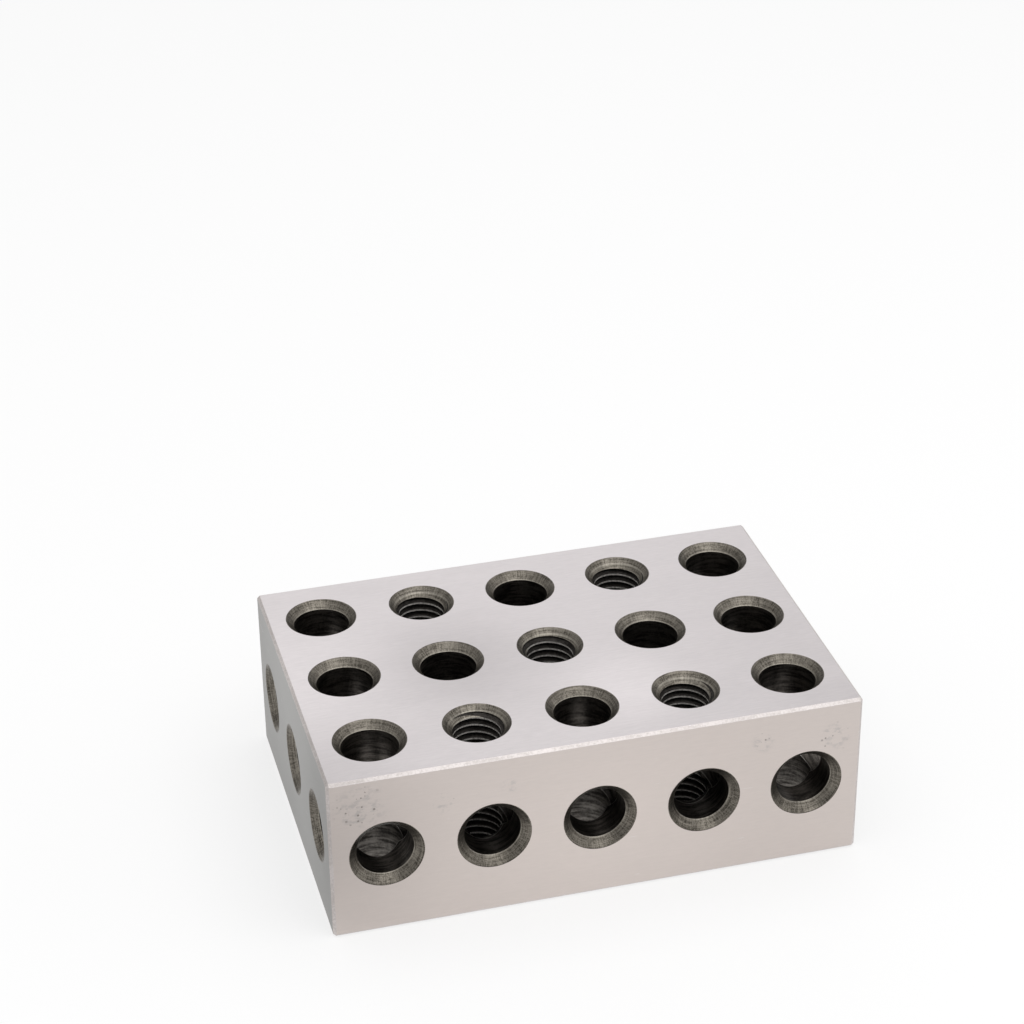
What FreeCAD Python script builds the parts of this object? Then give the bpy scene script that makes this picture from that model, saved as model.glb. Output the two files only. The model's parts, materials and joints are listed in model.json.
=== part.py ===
import FreeCAD, Part
import os
import Sketcher

# A machinist's 2-4-6 setup block, in millimetres: one ground steel block with 23 through holes.
# The holes run along all three directions, and their axes meet in the middle of the height.
# Origin: middle of the bottom face. +X is along the length, +Y to the back, +Z up.

driving_sizes = (
    ("block_length", 152.4),
    ("block_width", 101.6),
    ("block_height", 50.8),
    ("edge_break", 0.8),
    # from the end and side faces to the axes of the outer holes
    ("end_margin", 15.875),
    ("side_margin", 18.0),
    # bore diameters: plain for 5/8 inch studs, the tap drill for 5/8-11 threads
    ("plain_bore", 16.1),
    ("tapped_bore", 13.5),
    # how far each countersink reaches out from its bore, on each set of faces
    ("face_countersink", 2.15),
    ("tapped_countersink", 2.75),
    ("side_countersink", 2.4),
    ("end_countersink", 2.2),
    ("countersink_angle", 90),
)

# Holes are counted from the middle of the block: five columns along X, three rows along Y.
columns = (-2, -1, 0, 1, 2)
rows = (-1, 0, 1)
column_pitch = "(sizes.block_length / 2 - sizes.end_margin) / 2"
row_pitch = "sizes.block_width / 2 - sizes.side_margin"

doc = FreeCAD.newDocument("setup_block")


def make_sheet():
    sheet = doc.addObject("Spreadsheet::Sheet", "sizes")
    for line, (word, value) in enumerate(driving_sizes, start=1):
        sheet.set(f"A{line}", word)
        sheet.set(f"B{line}", str(value))
        sheet.setAlias(f"B{line}", word)
    doc.recompute()


def origin_plane(body, role):
    for feature in body.Origin.OriginFeatures:
        if feature.Role == role:
            return feature
    raise ValueError(f"no origin plane {role}")


def new_sketch(body, name, role, height=None):
    """A sketch on one of the body's middle planes, moved out along its normal by height."""
    sketch = body.newObject("Sketcher::SketchObject", name)
    sketch.AttachmentSupport = [(origin_plane(body, role), "")]
    sketch.MapMode = "FlatFace"
    if height:
        sketch.setExpression("AttachmentOffset.Base.z", height)
    return sketch


def add_outline(sketch, width, depth):
    """A rectangle about the sketch's origin."""
    corners = [FreeCAD.Vector(x, y, 0) for x, y in ((-9, -9), (9, -9), (9, 9), (-9, 9))]
    sides = [Part.LineSegment(corners[i], corners[(i + 1) % 4]) for i in range(4)]
    sketch.addGeometry(sides, False)
    for side in range(4):
        sketch.addConstraint(Sketcher.Constraint("Coincident", side, 2, (side + 1) % 4, 1))
    for side in (0, 2):
        sketch.addConstraint(Sketcher.Constraint("Horizontal", side))
        sketch.addConstraint(Sketcher.Constraint("Vertical", side + 1))
    sketch.addConstraint(Sketcher.Constraint("Symmetric", 0, 1, 2, 1, -1, 1))
    for kind, side, size in (("DistanceX", 0, width), ("DistanceY", 1, depth)):
        index = sketch.addConstraint(Sketcher.Constraint(kind, side, 1, side, 2, 18))
        sketch.setExpression(f"Constraints[{index}]", size)


def add_circle(sketch, column, row, across, along, diameter):
    """One hole's circle, at a whole number of pitches from the sketch's origin each way."""
    circle = sketch.addGeometry(
        Part.Circle(FreeCAD.Vector(20 * column, 20 * row, 0), FreeCAD.Vector(0, 0, 1), 5), False
    )
    index = sketch.addConstraint(Sketcher.Constraint("Diameter", circle, 10))
    sketch.setExpression(f"Constraints[{index}]", diameter)
    for kind, count, pitch in (("DistanceX", column, across), ("DistanceY", row, along)):
        if count == 0:
            axis = -2 if kind == "DistanceX" else -1
            sketch.addConstraint(Sketcher.Constraint("PointOnObject", circle, 3, axis))
            continue
        index = sketch.addConstraint(Sketcher.Constraint(kind, -1, 1, circle, 3, 20 * count))
        sketch.setExpression(f"Constraints[{index}]", f"{count} * ({pitch})")


def drill(body, sketch, name, bore, countersink):
    """Through holes at the sketch's circles, countersunk where they start."""
    doc.recompute()
    hole = body.newObject("PartDesign::Hole", name)
    hole.Profile = sketch
    doc.recompute()
    hole.ThreadType = "None"
    hole.DepthType = "ThroughAll"
    hole.DrillPoint = "Flat"
    hole.HoleCutType = "Countersink"
    hole.HoleCutCustomValues = True
    hole.setExpression("Diameter", bore)
    hole.setExpression("HoleCutDiameter", f"{bore} + 2 * {countersink}")
    hole.setExpression("HoleCutCountersinkAngle", "sizes.countersink_angle")
    sketch.Visibility = False
    doc.recompute()
    return hole


def mirror(body, name, holes, role):
    """The same holes again from the opposite face, for the countersinks at their far ends."""
    mirrored = body.newObject("PartDesign::Mirrored", name)
    mirrored.Originals = holes
    mirrored.MirrorPlane = (origin_plane(body, role), [""])
    body.Tip = mirrored
    doc.recompute()
    return mirrored


def make_block():
    body = doc.addObject("PartDesign::Body", "setup_block")
    body.Label = "setup_block"
    body.setExpression("Placement.Base.z", "sizes.block_height / 2")

    outline = new_sketch(body, "outline", "XY_Plane")
    add_outline(outline, "sizes.block_length", "sizes.block_width")
    blank = body.newObject("PartDesign::Pad", "blank")
    blank.Profile = outline
    blank.SideType = "Symmetric"
    blank.setExpression("Length", "sizes.block_height")
    doc.recompute()

    edges = body.newObject("PartDesign::Chamfer", "broken_edges")
    edges.Base = (blank, [f"Edge{i + 1}" for i in range(len(blank.Shape.Edges))])
    edges.setExpression("Size", "sizes.edge_break")
    doc.recompute()

    # the upright holes: the ones on the diagonals through the middle hole are tapped
    top = "sizes.block_height / 2"
    plain = new_sketch(body, "plain_hole_layout", "XY_Plane", top)
    tapped = new_sketch(body, "tapped_hole_layout", "XY_Plane", top)
    for column in columns:
        for row in rows:
            if abs(column) == abs(row):
                add_circle(tapped, column, row, column_pitch, row_pitch, "sizes.tapped_bore")
            else:
                add_circle(plain, column, row, column_pitch, row_pitch, "sizes.plain_bore")
    upright = [
        drill(body, plain, "plain_holes", "sizes.plain_bore", "sizes.face_countersink"),
        drill(body, tapped, "tapped_holes", "sizes.tapped_bore", "sizes.tapped_countersink"),
    ]
    mirror(body, "underside", upright, "XY_Plane")

    # one hole from front to back under each column
    crosswise = new_sketch(body, "cross_hole_layout", "XZ_Plane", "sizes.block_width / 2")
    for column in columns:
        add_circle(crosswise, column, 0, column_pitch, row_pitch, "sizes.plain_bore")
    cross_holes = drill(body, crosswise, "cross_holes", "sizes.plain_bore", "sizes.side_countersink")
    mirror(body, "back_face", [cross_holes], "XZ_Plane")

    # one hole from end to end under each row
    lengthwise = new_sketch(body, "long_hole_layout", "YZ_Plane", "sizes.block_length / 2")
    for row in rows:
        add_circle(lengthwise, row, 0, row_pitch, column_pitch, "sizes.plain_bore")
    long_holes = drill(body, lengthwise, "long_holes", "sizes.plain_bore", "sizes.end_countersink")
    mirror(body, "far_end", [long_holes], "YZ_Plane")
    return body


def check_document():
    for item in doc.Objects:
        if "Invalid" in item.State or "Error" in item.State:
            raise RuntimeError(f"{item.Label} failed: {item.State}")


make_sheet()
block = make_block()
check_document()
shape = block.Shape
if shape.isNull() or not shape.isValid() or len(shape.Solids) != 1:
    raise RuntimeError("the block isn't one valid solid")

os.makedirs("parts", exist_ok=True)
shape.exportStep(f"parts/{block.Label}.step")
box = shape.BoundBox
print(f"{block.Label}: {box.XLength:.3f} x {box.YLength:.3f} x {box.ZLength:.3f} mm,")
print(f"lowest {box.ZMin:.3f}, {len(shape.Faces)} faces, {shape.Volume / 1000:.2f} cm3")
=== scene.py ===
import json
import math

import bpy
from mathutils import Matrix, Vector


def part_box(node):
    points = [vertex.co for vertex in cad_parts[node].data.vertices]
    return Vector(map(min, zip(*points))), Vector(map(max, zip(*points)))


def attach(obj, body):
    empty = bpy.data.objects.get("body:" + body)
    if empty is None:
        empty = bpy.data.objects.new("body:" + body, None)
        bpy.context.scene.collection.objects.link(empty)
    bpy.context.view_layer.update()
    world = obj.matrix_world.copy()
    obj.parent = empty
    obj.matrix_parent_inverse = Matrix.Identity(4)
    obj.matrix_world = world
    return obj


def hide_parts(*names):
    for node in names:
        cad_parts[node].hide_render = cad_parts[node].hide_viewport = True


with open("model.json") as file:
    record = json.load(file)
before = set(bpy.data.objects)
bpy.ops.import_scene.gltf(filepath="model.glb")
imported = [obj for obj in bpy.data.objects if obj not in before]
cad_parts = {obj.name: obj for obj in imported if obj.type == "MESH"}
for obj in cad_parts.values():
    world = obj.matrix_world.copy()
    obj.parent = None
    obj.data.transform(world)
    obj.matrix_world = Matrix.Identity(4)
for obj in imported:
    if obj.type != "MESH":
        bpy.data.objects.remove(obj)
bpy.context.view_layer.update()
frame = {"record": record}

blockLow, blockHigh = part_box("setup_block")
blockSize = blockHigh - blockLow
blockMiddle = (blockLow + blockHigh) / 2
holes = [
    mount for mount in frame["record"]["mounts"]
    if mount["kind"] in ("bore", "threaded_hole")
]
tappedHoles = [hole for hole in holes if hole["kind"] == "threaded_hole"]
print("frame loaded:", len(holes), "holes,", len(tappedHoles), "of them tapped")

directions = ("long", "cross", "upright")    # holes along X, Y and Z
placeDecimals = 6       # holes whose places agree to so many decimals of a metre are in line


def directionOf(hole):
    return directions[[round(abs(part)) for part in hole["axis"]].index(1)]


def spacing(direction, along):
    # from one hole of that direction to the next
    places = sorted({
        round(hole["pos_m"][along], placeDecimals)
        for hole in holes if directionOf(hole) == direction
    })
    return places[1] - places[0]


columnPitch = spacing("cross", 0)
rowPitch = spacing("long", 1)


# ---- selecting and placing

def deselectAll():
    if bpy.context.object and bpy.context.object.mode != "OBJECT":
        bpy.ops.object.mode_set(mode="OBJECT")
    bpy.ops.object.select_all(action="DESELECT")


def pick(thing):
    deselectAll()
    thing.select_set(True)
    bpy.context.view_layer.objects.active = thing


def applyPlace(thing):
    pick(thing)
    bpy.ops.object.transform_apply(location=True, rotation=True, scale=True)


# ---- wiring nodes

def feed(tree, socket, source):
    # the source is another node's output, or a plain value
    if isinstance(source, bpy.types.NodeSocket):
        tree.links.new(source, socket)
    else:
        socket.default_value = source


def addNode(tree, kind, **inputs):
    made = tree.nodes.new(kind)
    for name, source in inputs.items():
        feed(tree, made.inputs[name.replace("_", " ")], source)
    return made


def maths(tree, operation, *sources):
    made = tree.nodes.new("ShaderNodeMath")
    made.operation = operation
    for socket, source in zip(made.inputs, sources):
        feed(tree, socket, source)
    return made.outputs[0]


def vectorMaths(tree, operation, *sources):
    made = tree.nodes.new("ShaderNodeVectorMath")
    made.operation = operation
    for socket, source in zip(made.inputs, sources):
        feed(tree, socket, source)
    return made.outputs["Value" if operation == "LENGTH" else "Vector"]


def ramp(tree, source, start, end, startValue=0.0, endValue=1.0):
    made = addNode(
        tree, "ShaderNodeMapRange", Value=source,
        From_Min=start, From_Max=end, To_Min=startValue, To_Max=endValue,
    )
    made.interpolation_type = "SMOOTHSTEP"
    return made.outputs["Result"]


def scaled(tree, vector, scale):
    made = vectorMaths(tree, "SCALE", vector)
    feed(tree, made.node.inputs["Scale"], scale)
    return made


def noise(tree, vector, scale, detail, roughness):
    # scale is in patches a metre, along X, Y and Z
    made = addNode(
        tree, "ShaderNodeTexNoise", Vector=vectorMaths(tree, "MULTIPLY", vector, scale),
        Scale=1.0, Detail=detail, Roughness=roughness,
    )
    return made.outputs[0]


# places of the Mix node's colour sockets, whose names repeat
mixFirst = 6
mixSecond = 7
mixResult = 2


def blend(tree, factor, first, second):
    made = tree.nodes.new("ShaderNodeMix")
    made.data_type = "RGBA"
    feed(tree, made.inputs["Factor"], factor)
    feed(tree, made.inputs[mixFirst], first)
    feed(tree, made.inputs[mixSecond], second)
    return made.outputs[mixResult]


def weighted(tree, *shares):
    # sum of (source, weight)
    total = None
    for source, weight in shares:
        part = maths(tree, "MULTIPLY", source, weight)
        total = part if total is None else maths(tree, "ADD", total, part)
    return total


def newGroup(name, inputs, outputs):
    tree = bpy.data.node_groups.new(name, "ShaderNodeTree")
    for side, sockets in (("INPUT", inputs), ("OUTPUT", outputs)):
        for socket, kind in sockets.items():
            tree.interface.new_socket(socket, in_out=side, socket_type="NodeSocket" + kind)
    given = tree.nodes.new("NodeGroupInput").outputs
    return tree, given, tree.nodes.new("NodeGroupOutput").inputs


def addGroup(tree, group, **inputs):
    made = tree.nodes.new("ShaderNodeGroup")
    made.node_tree = group
    for name, source in inputs.items():
        feed(tree, made.inputs[name.replace("_", " ")], source)
    return made.outputs


# ---- shared effects

# Each noise is given as patches a metre along X, Y and Z, then detail and roughness.

layMarks = {
    "streaks": ((300, 1500, 1500), 3, 0.6),
    "hairlines": ((90, 4200, 4200), 2, 0.6),
    "toneShares": (0.6, 0.4),           # of streaks and hairlines
    "clouds": ((45, 75, 75), 3, 0.55),
    "scratches": ((150, 2300, 2300), 1, 0.5),
    "scratchRange": (0.76, 0.82),
}


# lay of the grinding wheel: short streaks and fine hairlines along X, over a slow cloudiness
def makeGrindingLay():
    tree, given, out = newGroup(
        "grindingLay",
        {"Vector": "Vector"},
        {"Tone": "Float", "Cloud": "Float", "Scratch": "Float"},
    )
    streaks = noise(tree, given["Vector"], *layMarks["streaks"])
    hairlines = noise(tree, given["Vector"], *layMarks["hairlines"])
    feed(tree, out["Tone"], weighted(tree, *zip((streaks, hairlines), layMarks["toneShares"])))
    feed(tree, out["Cloud"], noise(tree, given["Vector"], *layMarks["clouds"]))
    rare = noise(tree, given["Vector"], *layMarks["scratches"])
    feed(tree, out["Scratch"], ramp(tree, rare, *layMarks["scratchRange"]))
    return tree


pitMarks = {
    "cells": 900.0,                     # a metre
    "rarity": 3.0,                      # power that makes large pits rare
    "largest": 0.42,                    # share of a cell
    "rim": (-0.02, 0.08),
    "smudges": ((420, 420, 650), 3, 0.65),
    "smudgeRange": (0.48, 0.66),
}


# small dark pits and smears, where the patch is
def makePitting():
    tree, given, out = newGroup(
        "pitting",
        {"Vector": "Vector", "Patch": "Float"},
        {"Pits": "Float", "Smear": "Float"},
    )
    cells = addNode(
        tree, "ShaderNodeTexVoronoi", Vector=given["Vector"], Scale=pitMarks["cells"],
    ).outputs
    size = addNode(tree, "ShaderNodeSeparateXYZ", Vector=cells["Color"]).outputs["X"]
    reach = maths(tree, "POWER", size, pitMarks["rarity"])
    reach = maths(tree, "MULTIPLY", reach, pitMarks["largest"])
    spot = ramp(tree, maths(tree, "SUBTRACT", reach, cells["Distance"]), *pitMarks["rim"])
    feed(tree, out["Pits"], maths(tree, "MULTIPLY", spot, given["Patch"]))
    smudge = noise(tree, given["Vector"], *pitMarks["smudges"])
    smudge = ramp(tree, smudge, *pitMarks["smudgeRange"])
    feed(tree, out["Smear"], maths(tree, "MULTIPLY", smudge, given["Patch"]))
    return tree


edgeMarks = {
    "nicks": ((1500, 1500, 1500), 2, 0.6),
    "drift": ((90, 90, 90), 2, 0.5),
    "swingShares": (2.6, 1.4),          # of nicks and drift
    "swingMiddle": 2.0,
    "fade": (0.00012, -0.00012),        # depths past the band's limit
    "strokeShares": (0.6, 0.4),
    "strokeRange": (0.38, 0.62),
}


# how far a place lies within a ragged band along the block's edges
def makeEdgeWear():
    tree, given, out = newGroup(
        "edgeWear",
        {"Vector": "Vector", "Half Size": "Vector", "Band": "Float", "Ragged": "Float"},
        {"Wear": "Float", "Strokes": "Float"},
    )
    outward = vectorMaths(tree, "ABSOLUTE", given["Vector"])
    inward = vectorMaths(tree, "SUBTRACT", given["Half Size"], outward)
    depth = addNode(tree, "ShaderNodeSeparateXYZ", Vector=inward).outputs
    nearer = maths(tree, "MINIMUM", depth["X"], depth["Y"])
    farther = maths(tree, "MAXIMUM", depth["X"], depth["Y"])
    second = maths(tree, "MAXIMUM", nearer, maths(tree, "MINIMUM", farther, depth["Z"]))
    marks = [noise(tree, given["Vector"], *edgeMarks[mark]) for mark in ("nicks", "drift")]
    swing = weighted(tree, *zip(marks, edgeMarks["swingShares"]))
    swing = maths(tree, "SUBTRACT", swing, edgeMarks["swingMiddle"])
    limit = maths(tree, "MULTIPLY_ADD", swing, given["Ragged"], given["Band"])
    past = maths(tree, "SUBTRACT", second, limit)
    feed(tree, out["Wear"], ramp(tree, past, *edgeMarks["fade"]))
    strokes = weighted(tree, *zip(marks, edgeMarks["strokeShares"]))
    feed(tree, out["Strokes"], ramp(tree, strokes, *edgeMarks["strokeRange"]))
    return tree


holeSeeds = (7.3, 31.7, 3.1)    # for column, row and end, so that no two mouths are marked alike


# place round the nearest hole along Z: distance from its axis, direction from it, place along it
def makeHoleFrame():
    tree, given, out = newGroup(
        "holeFrame",
        {"Vector": "Vector", "Column Pitch": "Float", "Row Pitch": "Float"},
        {"Radius": "Float", "Around": "Vector", "Along": "Float", "Seed": "Float"},
    )
    place = addNode(tree, "ShaderNodeSeparateXYZ", Vector=given["Vector"]).outputs
    offsets = []
    cells = []
    for part, pitch in (("X", given["Column Pitch"]), ("Y", given["Row Pitch"])):
        half = maths(tree, "MULTIPLY", pitch, 0.5)
        opposite = maths(tree, "MULTIPLY", half, -1.0)
        offsets.append(maths(tree, "WRAP", place[part], half, opposite))
        cells.append(maths(tree, "ROUND", maths(tree, "DIVIDE", place[part], pitch)))
    offset = addNode(tree, "ShaderNodeCombineXYZ", X=offsets[0], Y=offsets[1]).outputs[0]
    feed(tree, out["Radius"], vectorMaths(tree, "LENGTH", offset))
    feed(tree, out["Around"], vectorMaths(tree, "NORMALIZE", offset))
    feed(tree, out["Along"], place["Z"])
    ends = maths(tree, "SIGN", place["Z"])
    feed(tree, out["Seed"], weighted(tree, *zip((*cells, ends), holeSeeds)))
    return tree


turningMarks = {
    "ringsAround": 1.1,
    "chatterAlong": 260.0,
    "detail": 2,
    "roughness": 0.6,
}


# marks a turning tool leaves in a hole: rings round it, chatter across them, and grain
def makeTurnedMarks():
    tree, given, out = newGroup(
        "turnedMarks",
        {
            "Radius": "Float", "Around": "Vector", "Along": "Float", "Seed": "Float",
            "Ring Scale": "Float", "Chatter Scale": "Float", "Grain Scale": "Float",
        },
        {"Rings": "Float", "Chatter": "Float", "Grain": "Float"},
    )
    slant = maths(tree, "ADD", given["Radius"], maths(tree, "ABSOLUTE", given["Along"]))

    def marks(aroundScale, slantScale):
        height = maths(tree, "MULTIPLY", slant, slantScale)
        along = addNode(tree, "ShaderNodeCombineXYZ", X=given["Seed"], Z=height).outputs[0]
        around = scaled(tree, given["Around"], aroundScale)
        place = vectorMaths(tree, "ADD", along, around)
        return noise(tree, place, (1, 1, 1), turningMarks["detail"], turningMarks["roughness"])

    feed(tree, out["Rings"], marks(turningMarks["ringsAround"], given["Ring Scale"]))
    feed(tree, out["Chatter"], marks(given["Chatter Scale"], turningMarks["chatterAlong"]))
    grainAround = maths(tree, "MULTIPLY", given["Radius"], given["Grain Scale"])
    feed(tree, out["Grain"], marks(grainAround, given["Grain Scale"]))
    return tree


highlightCore = 0.4      # share of a line's width at which it is at full strength


# a painted highlight: a bright line where the distance from a hole's axis is that hole's radius
def makeBoreHighlight():
    tree, given, out = newGroup(
        "boreHighlight",
        {"Radius": "Float", "Bore": "Float", "Width": "Float"},
        {"Line": "Float"},
    )
    gap = maths(tree, "ABSOLUTE", maths(tree, "SUBTRACT", given["Radius"], given["Bore"]))
    core = maths(tree, "MULTIPLY", given["Width"], highlightCore)
    feed(tree, out["Line"], ramp(tree, gap, given["Width"], core))
    return tree


grindingLay = makeGrindingLay()
pitting = makePitting()
edgeWear = makeEdgeWear()
holeFrame = makeHoleFrame()
turnedMarks = makeTurnedMarks()
boreHighlight = makeBoreHighlight()
print("shared effects made")


# ---- materials

plainBore = next(hole["dims"]["r_mm"] for hole in holes if hole["kind"] == "bore") / 1000
tappedBore = tappedHoles[0]["dims"]["r_mm"] / 1000

onePitch = 1.0      # metres, wider than the block, where there is only one column or row

# how the block is turned for the holes of each direction to run along Z, with the pitches across
# them and their bores
holeViews = {
    "upright": {
        "turn": (0, 0, 0),
        "pitches": (columnPitch, rowPitch),
        "bores": (plainBore, tappedBore),
    },
    "cross": {
        "turn": (math.pi / 2, 0, 0),
        "pitches": (columnPitch, onePitch),
        "bores": (plainBore,),
    },
    "long": {
        "turn": (0, math.pi / 2, 0),
        "pitches": (onePitch, rowPitch),
        "bores": (plainBore,),
    },
}


def newMaterial(name, metallic):
    material = bpy.data.materials.new(name)
    material.use_nodes = True
    tree = material.node_tree
    shader = tree.nodes["Principled BSDF"].inputs
    shader["Metallic"].default_value = metallic
    place = tree.nodes.new("ShaderNodeTexCoord").outputs["Object"]
    centring = addNode(tree, "ShaderNodeMapping", Vector=place, Location=-blockMiddle)
    return material, tree, shader, centring.outputs[0]


def turned(tree, place, rotation):
    return addNode(tree, "ShaderNodeMapping", Vector=place, Rotation=rotation).outputs[0]


def viewHoles(tree, place, direction):
    view = holeViews[direction]
    column, row = view["pitches"]
    place = turned(tree, place, view["turn"])
    return addGroup(tree, holeFrame, Vector=place, Column_Pitch=column, Row_Pitch=row)


def boreHighlights(tree, radius, direction, width):
    highlightLines = 0.0
    for bore in holeViews[direction]["bores"]:
        highlightLine = addGroup(tree, boreHighlight, Radius=radius, Bore=bore, Width=width)["Line"]
        highlightLines = maths(tree, "MAXIMUM", highlightLines, highlightLine)
    return highlightLines


def addBump(tree, shader, height, distance):
    bump = addNode(tree, "ShaderNodeBump", Height=height, Distance=distance)
    feed(tree, shader["Normal"], bump.outputs["Normal"])


def shadesOf(colour, spread):
    # a darker and a lighter tone of one colour
    return [(*[part * (1 + change) for part in colour], 1) for change in (-spread, spread)]


# ground steel of the faces, sides and ends; the sides' and ends' colours are painted shade
groundFinishesAndPaintedShade = {
    "faces": {
        "colour": (0.700, 0.660, 0.666),
        "spread": 0.05,
        "roughness": (0.36, 0.42),
        "layTurn": 0,
    },
    # painted shade: the sides are given a darker, warmer copy of the faces' colour, standing for
    # how they are lit
    "sides": {
        "colour": (0.647, 0.586, 0.554),
        "spread": 0.025,
        "roughness": (0.46, 0.50),
        "layTurn": 0,
    },
    # painted shade: the ends are given about half the faces' colour, standing for the darker
    # surroundings they reflect
    "ends": {
        "colour": (0.335, 0.331, 0.322),
        "spread": 0.03,
        "roughness": (0.46, 0.50),
        "layTurn": math.pi / 2,
    },
}
groundWearAndReflections = {
    "toneShares": (0.6, 0.4),       # of lay and cloud
    "contrast": (0.32, 0.68),
    "cloudRange": (0.3, 0.7),
    "scratchShare": 0.7,
    "scratch": (0.78, 0.76, 0.76, 1),
    "wornDark": (0.56, 0.52, 0.50, 1),
    "wornLight": (0.70, 0.655, 0.64, 1),
    "pit": (0.33, 0.30, 0.28, 1),
    "smear": (0.54, 0.50, 0.48, 1),
    "layDepth": 0.000002,
    "wornBand": 0.00085,
    "wornRagged": 0.00035,
    "wornRoughness": 0.1,
    "pitCore": 0.4,                 # share of a patch's reach at which it is at full strength
    "paintedReflectionCore": 0,
    # middle and reach of each cluster of pits, from the middle of the block
    "pitPatches": [
        ((-0.067, -0.0508, 0.0165), 0.009),
        ((-0.044, -0.0508, 0.0135), 0.004),
        ((-0.026, -0.0508, 0.0155), 0.003),
        ((0.047, -0.0508, 0.016), 0.004),
        ((0.068, -0.0508, 0.014), 0.006),
    ],
    # middle, reach and strength of each painted reflection, darker and brighter stretches on the
    # top and front faces
    "paintedReflections": [
        ((-0.028, -0.002, 0.0254), 0.038, -0.17),
        ((-0.080, 0.002, 0.0254), 0.055, 0.10),
        ((0.016, -0.026, 0.0254), 0.026, 0.13),
        ((-0.080, -0.0508, 0.006), 0.045, -0.22),
        ((0.000, -0.0508, -0.005), 0.055, 0.07),
    ],
}


def patchShares(tree, place, middle, reach, core):
    # 1 in the middle of a patch and 0 beyond its reach
    away = vectorMaths(tree, "LENGTH", vectorMaths(tree, "SUBTRACT", place, middle))
    return ramp(tree, away, reach, reach * core)


def makeGroundSteel(name, finish):
    material, tree, shader, place = newMaterial("ground_" + name, 1)
    lay = addGroup(tree, grindingLay, Vector=turned(tree, place, (0, 0, finish["layTurn"])))
    tone = weighted(tree, *zip((lay["Tone"], lay["Cloud"]), groundWearAndReflections["toneShares"]))
    tone = ramp(tree, tone, *groundWearAndReflections["contrast"])
    colour = blend(tree, tone, *shadesOf(finish["colour"], finish["spread"]))
    scratches = maths(tree, "MULTIPLY", lay["Scratch"], groundWearAndReflections["scratchShare"])
    colour = blend(tree, scratches, colour, groundWearAndReflections["scratch"])

    patch = 0.0
    for middle, reach in groundWearAndReflections["pitPatches"]:
        share = patchShares(tree, place, middle, reach, groundWearAndReflections["pitCore"])
        patch = maths(tree, "MAXIMUM", patch, share)
    marks = addGroup(tree, pitting, Vector=place, Patch=patch)
    colour = blend(tree, marks["Smear"], colour, groundWearAndReflections["smear"])
    colour = blend(tree, marks["Pits"], colour, groundWearAndReflections["pit"])

    edge = addGroup(
        tree, edgeWear, Vector=place, Half_Size=blockSize / 2,
        Band=groundWearAndReflections["wornBand"], Ragged=groundWearAndReflections["wornRagged"],
    )
    worn = blend(tree, edge["Strokes"], groundWearAndReflections["wornDark"], groundWearAndReflections["wornLight"])
    colour = blend(tree, edge["Wear"], colour, worn)

    # painted reflections: the base colour is made darker and brighter in stretches across the top
    # and front faces
    shade = 1.0
    for middle, reach, strength in groundWearAndReflections["paintedReflections"]:
        share = patchShares(tree, place, middle, reach, groundWearAndReflections["paintedReflectionCore"])
        shade = maths(tree, "MULTIPLY_ADD", share, strength, shade)
    feed(tree, shader["Base Color"], scaled(tree, colour, shade))

    smooth = ramp(tree, lay["Cloud"], *groundWearAndReflections["cloudRange"], *finish["roughness"])
    rough = maths(tree, "MULTIPLY_ADD", edge["Wear"], groundWearAndReflections["wornRoughness"], smooth)
    feed(tree, shader["Roughness"], rough)
    height = maths(tree, "SUBTRACT", lay["Tone"], marks["Pits"])
    addBump(tree, shader, height, groundWearAndReflections["layDepth"])
    return material


def makeTurnedSteel(name, direction, finish):
    material, tree, shader, place = newMaterial(name + "_" + direction, finish["metallic"])
    shader["Roughness"].default_value = finish["roughness"]
    here = viewHoles(tree, place, direction)
    marks = addGroup(
        tree, turnedMarks,
        Radius=here["Radius"], Around=here["Around"], Along=here["Along"], Seed=here["Seed"],
        Ring_Scale=finish["ringScale"], Chatter_Scale=finish["chatterScale"],
        Grain_Scale=finish["grainScale"],
    )
    tone = weighted(tree, *[(marks[mark], share) for mark, share in finish["shares"].items()])
    light = finish["light"]
    # painted light: the upright holes' walls take a lighter tone below the crossings, standing for
    # light that reaches them there
    if "paintedLightBelow" in finish and direction == "upright":
        paintedLightShare = ramp(tree, here["Along"], *finish["paintedLightFrom"])
        light = blend(tree, paintedLightShare, light, finish["paintedLightBelow"])
    colour = blend(tree, ramp(tree, tone, *finish["contrast"]), finish["dark"], light)

    # painted highlights: bright lines where this hole's wall starts, or where other holes break
    # into it
    if finish["highlightOn"]:
        width = finish["highlightWidth"]
        highlightLines = 0.0
        if finish["highlightOn"] == "own":
            highlightLines = boreHighlights(tree, here["Radius"], direction, width)
        else:
            for other in directions:
                if other != direction:
                    crossing = viewHoles(tree, place, other)["Radius"]
                    highlightLine = boreHighlights(tree, crossing, other, width)
                    highlightLines = maths(tree, "MAXIMUM", highlightLines, highlightLine)
        highlightLines = maths(tree, "MULTIPLY", highlightLines, marks["Chatter"])
        colour = blend(tree, highlightLines, colour, finish["highlightColour"])
    feed(tree, shader["Base Color"], colour)
    addBump(tree, shader, tone, finish["depth"])
    return material


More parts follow.
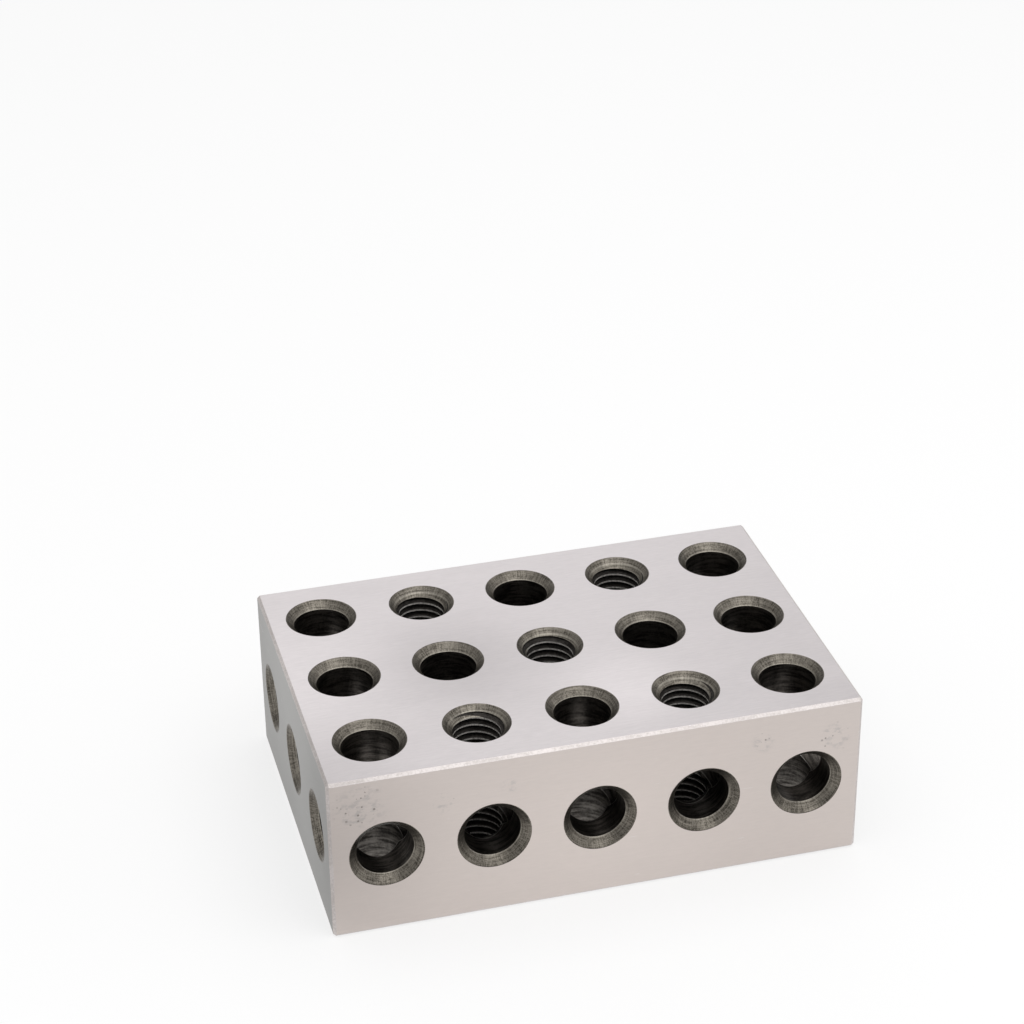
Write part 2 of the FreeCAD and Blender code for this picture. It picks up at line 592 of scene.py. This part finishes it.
# The holes' steel is given colours far darker than the ground faces', the thread flanks nearly
# black and the crests a light, matt grey.
countersinkFinish = {
    "dark": (0.052, 0.046, 0.038, 1),
    "light": (0.235, 0.214, 0.182, 1),
    "metallic": 1,
    "roughness": 0.35,
    "ringScale": 1500.0,
    "chatterScale": 22.0,
    "grainScale": 2600.0,
    "shares": {"Rings": 0.35, "Chatter": 0.3, "Grain": 0.35},
    "contrast": (0.37, 0.63),
    "depth": 0.00008,
    # painted highlight: a light line where the bore meets the countersink
    "highlightOn": "own",
    "highlightWidth": 0.0003,
    "highlightColour": (0.35, 0.325, 0.28, 1),
}
wallFinish = {
    "dark": (0.040, 0.036, 0.032, 1),
    "light": (0.19, 0.172, 0.155, 1),
    # painted light: a lighter tone of the upright holes' walls below the crossings
    "paintedLightBelow": (0.26, 0.242, 0.222, 1),   # light tone of the upright holes below the crossings
    "paintedLightFrom": (0.004, -0.004),       # heights from the middle between which it comes in
    "metallic": 1,
    "roughness": 0.4,
    "ringScale": 900.0,
    "chatterScale": 4.0,
    "grainScale": 1800.0,
    "shares": {"Rings": 0.65, "Chatter": 0.15, "Grain": 0.2},
    "contrast": (0.36, 0.64),
    "depth": 0.00006,
    # painted highlight: bright lines where other holes break into the wall
    "highlightOn": "others",
    "highlightWidth": 0.00025,
    "highlightColour": (0.75, 0.73, 0.69, 1),
}
crestFinish = {
    "dark": (0.25, 0.235, 0.22, 1),
    "light": (0.6, 0.58, 0.55, 1),
    "metallic": 0,
    "roughness": 0.6,
    "ringScale": 900.0,
    "chatterScale": 10.0,
    "grainScale": 1800.0,
    "shares": {"Rings": 0.2, "Chatter": 0.4, "Grain": 0.4},
    "contrast": (0.36, 0.64),
    "depth": 0.00003,
    "highlightOn": None,
}
flankFinish = {
    "dark": (0.012, 0.011, 0.010, 1),
    "light": (0.055, 0.050, 0.046, 1),
    "metallic": 1,
    "roughness": 0.55,
    "ringScale": 1200.0,
    "chatterScale": 8.0,
    "grainScale": 1800.0,
    "shares": {"Rings": 0.4, "Chatter": 0.2, "Grain": 0.4},
    "contrast": (0.36, 0.64),
    "depth": 0.00003,
    "highlightOn": None,
}

ground = {name: makeGroundSteel(name, finish) for name, finish in groundFinishesAndPaintedShade.items()}
countersinks = {
    direction: makeTurnedSteel("countersink", direction, countersinkFinish)
    for direction in directions
}
walls = {
    direction: makeTurnedSteel("drilled", direction, wallFinish)
    for direction in directions
}
threadCrest = makeTurnedSteel("thread_crest", "upright", crestFinish)
threadFlank = makeTurnedSteel("thread_flank", "upright", flankFinish)
print("finishes made:", len(bpy.data.materials))


# ---- the ground blank, with its twelve edges broken

blankShape = {
    "edgeBreak": 0.0008,
    "breakSegments": 1,
    "endFacing": 0.9,       # least share of X in the normal of an end
    "faceFacing": 0.3,      # least share of Z in the normal of a face, its broken edges included
    "smoothAngle": 15,
}


def makeBlank():
    deselectAll()
    bpy.ops.mesh.primitive_cube_add(size=1, location=blockMiddle, scale=blockSize)
    block = bpy.context.object
    block.name = "ground_block"
    applyPlace(block)
    bpy.ops.object.mode_set(mode="EDIT")
    bpy.ops.mesh.select_all(action="SELECT")
    bpy.ops.mesh.bevel(
        offset=blankShape["edgeBreak"],
        segments=blankShape["breakSegments"],
        affect="EDGES",
    )
    bpy.ops.object.mode_set(mode="OBJECT")
    # the sides and ends take the copies of the steel darkened with painted shade
    slots = ["sides", "ends", "faces"]
    for name in slots:
        block.data.materials.append(ground[name])
    for face in block.data.polygons:
        if abs(face.normal.x) > blankShape["endFacing"]:
            face.material_index = slots.index("ends")
        elif abs(face.normal.z) > blankShape["faceFacing"]:
            face.material_index = slots.index("faces")
    return block


# ---- the drills: each is a spindle with a countersink at both ends

drillShape = {
    "sides": 112,
    "overrun": 0.0005,      # how far it stands out of each face
    "mouthEdge": 0.00008,   # depth of the small facet round each mouth
    "mouthAngle": 22.5,     # of that facet, from the face
    "wallFacing": 0.1,      # most that a wall's normal leans along the hole
}


def spindleStations(bore, wall, reach):
    # (distance from the middle, radius) from one face inwards, at 45 degrees in the countersink
    edge = drillShape["mouthEdge"]
    overrun = drillShape["overrun"]
    flare = 1 / math.tan(math.radians(drillShape["mouthAngle"]))
    mouth = bore + reach - edge - wall
    return [
        (reach + overrun, mouth + (edge + overrun) * flare),
        (reach - edge, mouth),
        (wall, bore),
    ]


def makeDrill(hole):
    direction = directionOf(hole)
    axis = Vector([round(abs(part)) for part in hole["axis"]])
    centre = Vector(hole["pos_m"])
    bore = hole["dims"]["r_mm"] / 1000
    wall = hole["dims"]["length_mm"] / 1000 / 2
    half = spindleStations(bore, wall, blockSize.dot(axis) / 2)
    stations = half + [(-place, radius) for place, radius in reversed(half)]
    place, radius = stations[0]
    deselectAll()
    bpy.ops.mesh.primitive_circle_add(
        vertices=drillShape["sides"],
        radius=radius,
        fill_type="NGON",
        location=centre + axis * place,
        rotation=axis.to_track_quat("Z", "Y").to_euler(),
    )
    drill = bpy.context.object
    drill.name = "drill_" + hole["name"]
    applyPlace(drill)
    bpy.ops.object.mode_set(mode="EDIT")
    bpy.ops.mesh.select_all(action="SELECT")
    for nextPlace, nextRadius in stations[1:]:
        step = axis * (nextPlace - place)
        bpy.ops.mesh.extrude_region_move(TRANSFORM_OT_translate={"value": step})
        scale = nextRadius / radius
        bpy.ops.transform.resize(
            value=(scale, scale, scale),
            center_override=centre + axis * nextPlace,
        )
        place, radius = nextPlace, nextRadius
    bpy.ops.mesh.select_all(action="SELECT")
    bpy.ops.mesh.normals_make_consistent(inside=False)
    bpy.ops.object.mode_set(mode="OBJECT")
    drill.data.materials.append(countersinks[direction])
    wallSteel = threadCrest if hole["kind"] == "threaded_hole" else walls[direction]
    drill.data.materials.append(wallSteel)
    for face in drill.data.polygons:
        face.material_index = 1 if abs(face.normal.dot(axis)) < drillShape["wallFacing"] else 0
    return drill


# ---- the tap: the outline of one pitch, wound up the hole

tapShape = {
    "majorRadius": 0.0079375,
    "pitch": 0.0254 / 11,
    "rootFlat": 0.19,       # share of the pitch
    "flankAngle": 30,
    "inside": 0.0002,       # how far its core stays clear of the drilled wall
    "sides": 80,
    "overrun": 0.0005,
    "spareTurns": 4,        # half of them below the block
    "weld": 1e-6,
    "trimPrecision": 1e-7,
    # depth of the first crest below the top, at the back of each hole
    "firstCrest": {
        "tapped_left_middle_front": 0.0028,
        "tapped_right_middle_front": 0.0022,
        "tapped_centre_middle": 0.0033,
        "tapped_left_middle_back": 0.0020,
        "tapped_right_middle_back": 0.0020,
    },
}


def tapOutline(core):
    pitch = tapShape["pitch"]
    major = tapShape["majorRadius"]
    flank = (major - core) * math.tan(math.radians(tapShape["flankAngle"]))
    root = pitch * tapShape["rootFlat"]
    crest = pitch - root - 2 * flank
    # the crest's middle is at the foot, so that its place is known
    return [
        (core, 0),
        (core, crest / 2),
        (major, crest / 2 + flank),
        (major, crest / 2 + flank + root),
        (core, pitch - crest / 2),
        (core, pitch),
    ]


def makeTap(hole):
    pitch = tapShape["pitch"]
    outline = tapOutline(hole["dims"]["r_mm"] / 1000 - tapShape["inside"])
    spare = tapShape["spareTurns"]
    turns = math.ceil(blockSize.z / pitch) + spare
    deselectAll()
    bpy.ops.mesh.primitive_grid_add(
        x_subdivisions=1,
        y_subdivisions=len(outline) - 1,
        size=pitch,
    )
    tap = bpy.context.object
    tap.name = "tap_" + hole["name"]
    bpy.ops.object.mode_set(mode="EDIT")
    bpy.ops.mesh.select_mode(type="VERT")
    bpy.ops.mesh.select_all(action="DESELECT")
    bpy.ops.object.mode_set(mode="OBJECT")
    for vertex in tap.data.vertices:
        vertex.select = vertex.co.x < 0
    bpy.ops.object.mode_set(mode="EDIT")
    bpy.ops.mesh.delete(type="VERT")
    bpy.ops.object.mode_set(mode="OBJECT")
    column = sorted(tap.data.vertices, key=lambda vertex: vertex.co.y)
    for vertex, (radius, height) in zip(column, outline):
        vertex.co = (radius, 0, height)
    winding = tap.modifiers.new("winding", "SCREW")
    winding.axis = "Z"
    winding.screw_offset = pitch
    winding.iterations = turns
    winding.steps = tapShape["sides"]
    winding.render_steps = tapShape["sides"]
    winding.use_smooth_shade = False
    bpy.ops.object.modifier_apply(modifier=winding.name)
    # a quarter turn brings the crest from +X to the back of the hole
    crestHeight = blockHigh.z - tapShape["firstCrest"][hole["name"]] - pitch / 4
    foot = crestHeight - (turns - spare // 2) * pitch
    tap.location = (hole["pos_m"][0], hole["pos_m"][1], foot)
    applyPlace(tap)
    bpy.ops.object.mode_set(mode="EDIT")
    bpy.ops.mesh.select_all(action="SELECT")
    bpy.ops.mesh.remove_doubles(threshold=tapShape["weld"])
    top = blockHigh.z + tapShape["overrun"]
    bottom = blockLow.z - tapShape["overrun"]
    for height, keepBelow in ((top, True), (bottom, False)):
        bpy.ops.mesh.select_all(action="SELECT")
        bpy.ops.mesh.bisect(
            plane_co=(0, 0, height),
            plane_no=(0, 0, 1),
            use_fill=True,
            clear_outer=keepBelow,
            clear_inner=not keepBelow,
            threshold=tapShape["trimPrecision"],
        )
    bpy.ops.mesh.select_all(action="SELECT")
    bpy.ops.mesh.normals_make_consistent(inside=False)
    bpy.ops.object.mode_set(mode="OBJECT")
    tap.data.materials.append(threadFlank)
    return tap


def cut(block, tool):
    pick(block)
    step = block.modifiers.new(tool.name, "BOOLEAN")
    step.operation = "DIFFERENCE"
    step.solver = "MANIFOLD"
    step.material_mode = "TRANSFER"
    step.object = tool
    bpy.ops.object.modifier_apply(modifier=step.name)
    bpy.data.objects.remove(tool)


block = makeBlank()
for hole in holes:
    cut(block, makeDrill(hole))
print("block drilled:", len(block.data.polygons), "faces")
for hole in tappedHoles:
    cut(block, makeTap(hole))
triangles = sum(len(face.vertices) - 2 for face in block.data.polygons)
print("block tapped:", triangles, "triangles")

pick(block)
bpy.ops.object.shade_smooth_by_angle(angle=math.radians(blankShape["smoothAngle"]))

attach(block, "root")
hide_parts("setup_block")


# ---- the studio

studio = {
    "floorSize": 6,
    "floorColour": (0.93, 0.93, 0.93, 1),
    "floorWhite": 0.65,     # share of plain white that the camera and the steel see in it
    "roomColour": (1, 1, 1, 1),
    "roomStrength": 0.6,
    "lampColour": (1, 1, 1),
    "lampAim": (0, 0, 0),
    # place, size and radiance of each lamp
    "lamps": {
        "overhead": ((0, 0, 1.2), (1.6, 1.4), 0.82),
        "overFront": ((0.25, -0.6, 1.0), (1.2, 0.7), 1.05),
        "back": ((0.2, 1.5, 0.75), (1.0, 1.0), 0.49),
        "right": ((1.5, -0.2, 0.6), (1.2, 1.0), 0.8),
        "left": ((-1.5, 0, 0.6), (1.2, 1.0), 0.4),
    },
}


def makeFloor():
    deselectAll()
    bpy.ops.mesh.primitive_plane_add(size=studio["floorSize"])
    floor = bpy.context.object
    floor.name = "floor"
    paint = bpy.data.materials.new("floor_paint")
    paint.use_nodes = True
    tree = paint.node_tree
    matt = tree.nodes["Principled BSDF"]
    matt.inputs["Base Color"].default_value = studio["floorColour"]
    matt.inputs["Roughness"].default_value = 1
    matt.inputs["Specular IOR Level"].default_value = 0
    # the camera and the steel see it nearer to white, with the block's shadow kept
    ray = tree.nodes.new("ShaderNodeLightPath").outputs
    seen = maths(tree, "MAXIMUM", ray["Is Camera Ray"], ray["Is Glossy Ray"])
    seen = maths(tree, "MAXIMUM", seen, ray["Is Transmission Ray"])
    white = addNode(tree, "ShaderNodeEmission", Color=(1, 1, 1, 1), Strength=1.0)
    share = maths(tree, "MULTIPLY", seen, studio["floorWhite"])
    mix = addNode(tree, "ShaderNodeMixShader", Fac=share)
    feed(tree, mix.inputs[1], matt.outputs[0])
    feed(tree, mix.inputs[2], white.outputs[0])
    feed(tree, tree.nodes["Material Output"].inputs["Surface"], mix.outputs[0])
    floor.data.materials.append(paint)


def makeLamp(name, place, size, radiance):
    data = bpy.data.lights.new(name, "AREA")
    data.shape = "RECTANGLE"
    data.size, data.size_y = size
    data.energy = radiance * math.pi * size[0] * size[1]     # watts for that radiance, straight on
    data.color = studio["lampColour"]
    lamp = bpy.data.objects.new(name, data)
    lamp.location = place
    facing = Vector(studio["lampAim"]) - Vector(place)
    lamp.rotation_euler = facing.to_track_quat("-Z", "Y").to_euler()
    lamp.visible_camera = False
    bpy.context.scene.collection.objects.link(lamp)


def lightRoom():
    world = bpy.data.worlds.new("studio_room")
    bpy.context.scene.world = world
    world.use_nodes = True
    background = world.node_tree.nodes["Background"].inputs
    background["Color"].default_value = studio["roomColour"]
    background["Strength"].default_value = studio["roomStrength"]
    for name, values in studio["lamps"].items():
        makeLamp(name, *values)


makeFloor()
lightRoom()

cameraView = {
    "lens": 94.356,
    "sensor": 36,
    "aim": (0.03234, 0.16396, 0),
    "distance": 0.94126,
    "azimuth": 14.739,      # degrees, to the right of +Y
    "elevation": 29.618,
    "roll": 0.714,
}


def makeCamera():
    data = bpy.data.cameras.new("camera")
    data.lens = cameraView["lens"]
    data.sensor_width = cameraView["sensor"]
    camera = bpy.data.objects.new("camera", data)
    turn = Matrix.Rotation(-math.radians(cameraView["azimuth"]), 3, "Z")
    tilt = Matrix.Rotation(math.radians(90 - cameraView["elevation"]), 3, "X")
    roll = Matrix.Rotation(-math.radians(cameraView["roll"]), 3, "Z")
    facing = turn @ tilt @ roll
    camera.rotation_euler = facing.to_euler()
    camera.location = Vector(cameraView["aim"]) + facing @ Vector((0, 0, cameraView["distance"]))
    bpy.context.scene.collection.objects.link(camera)
    bpy.context.scene.camera = camera


makeCamera()
bpy.context.scene.view_settings.view_transform = "Standard"
print("studio and camera set")
